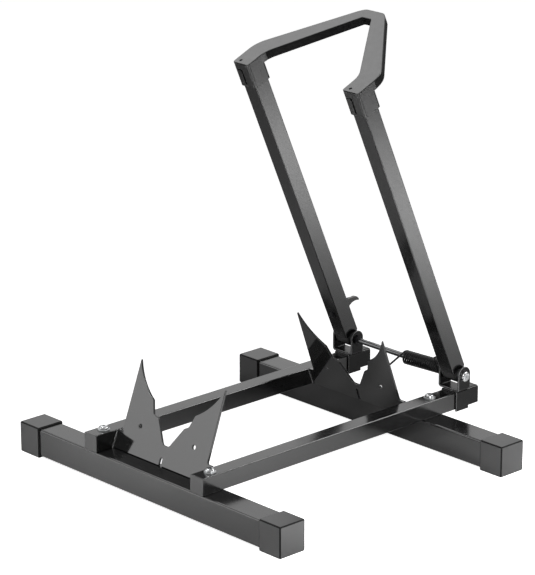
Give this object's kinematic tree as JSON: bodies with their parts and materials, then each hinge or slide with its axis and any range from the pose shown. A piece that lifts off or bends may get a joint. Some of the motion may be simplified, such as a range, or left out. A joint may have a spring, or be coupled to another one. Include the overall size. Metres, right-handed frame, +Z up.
{
  "type": "floor bike rack",
  "caption": "Floor stand that holds a bicycle wheel between two notched cradle plates and a sprung, tilting hoop with a carrying handle.",
  "frame": {"origin": "centre of the whole part's box, seen from above, on the floor", "axes": "+X runs to the rack's right along the two beams, +Y runs to the rear, from the wheel's way in to the hoop's pivot, and +Z is up"},
  "size_m": [0.536, 0.5314, 0.6116],
  "materials": {
    "painted_steel": "gloss powder coat",
    "painted_plate": "smooth high-gloss powder coat",
    "moulded_plastic": "satin, fine grain",
    "chrome": "polished",
    "zinc": "zinc plated",
    "black_steel": "blackened, slightly oiled",
    "brass": "plain turned"
  },
  "bodies": {
    "base": {"front_beam": "painted_steel", "rear_beam": "painted_steel", "front_left_cap": "moulded_plastic", "front_right_cap": "moulded_plastic", "rear_left_cap": "moulded_plastic", "rear_right_cap": "moulded_plastic", "left_rail": "painted_steel", "right_rail": "painted_steel", "left_front_plug": "moulded_plastic", "right_front_plug": "moulded_plastic", "left_rear_plug": "moulded_plastic", "right_rear_plug": "moulded_plastic", "front_cradle": "painted_plate", "rear_cradle": "painted_plate", "left_saddle": "painted_steel", "right_saddle": "painted_steel", "left_clevis": "painted_steel", "right_clevis": "painted_steel", "rail_bolts": "chrome", "rail_washers": "zinc", "beam_nuts": "zinc", "pivot_rod": "black_steel", "left_pivot_screw": "chrome", "right_pivot_screw": "chrome", "rod_nuts": "black_steel", "spacer_washers": "zinc", "torsion_spring": "black_steel"},
    "hoop": {"left_upright": "painted_steel", "right_upright": "painted_steel", "left_knuckle": "moulded_plastic", "right_knuckle": "moulded_plastic", "left_bush": "brass", "right_bush": "brass", "handle": "moulded_plastic", "left_top_plug": "moulded_plastic", "right_top_plug": "moulded_plastic", "handle_screws": "black_steel", "hook": "painted_steel", "hook_screw": "chrome", "hook_spacer": "zinc"}
  },
  "joints": [
    {"name": "hoop_pivot", "type": "hinge", "parent": "base", "child": "hoop", "pos_m": [-0.007, 0.23331, 0.0917], "axis": [1, 0, 0], "range_deg": [-30, 65], "stiffness_Nm_per_rad": 5.5, "springref_deg": -18.21, "deforming": ["torsion_spring"]}
  ]
}
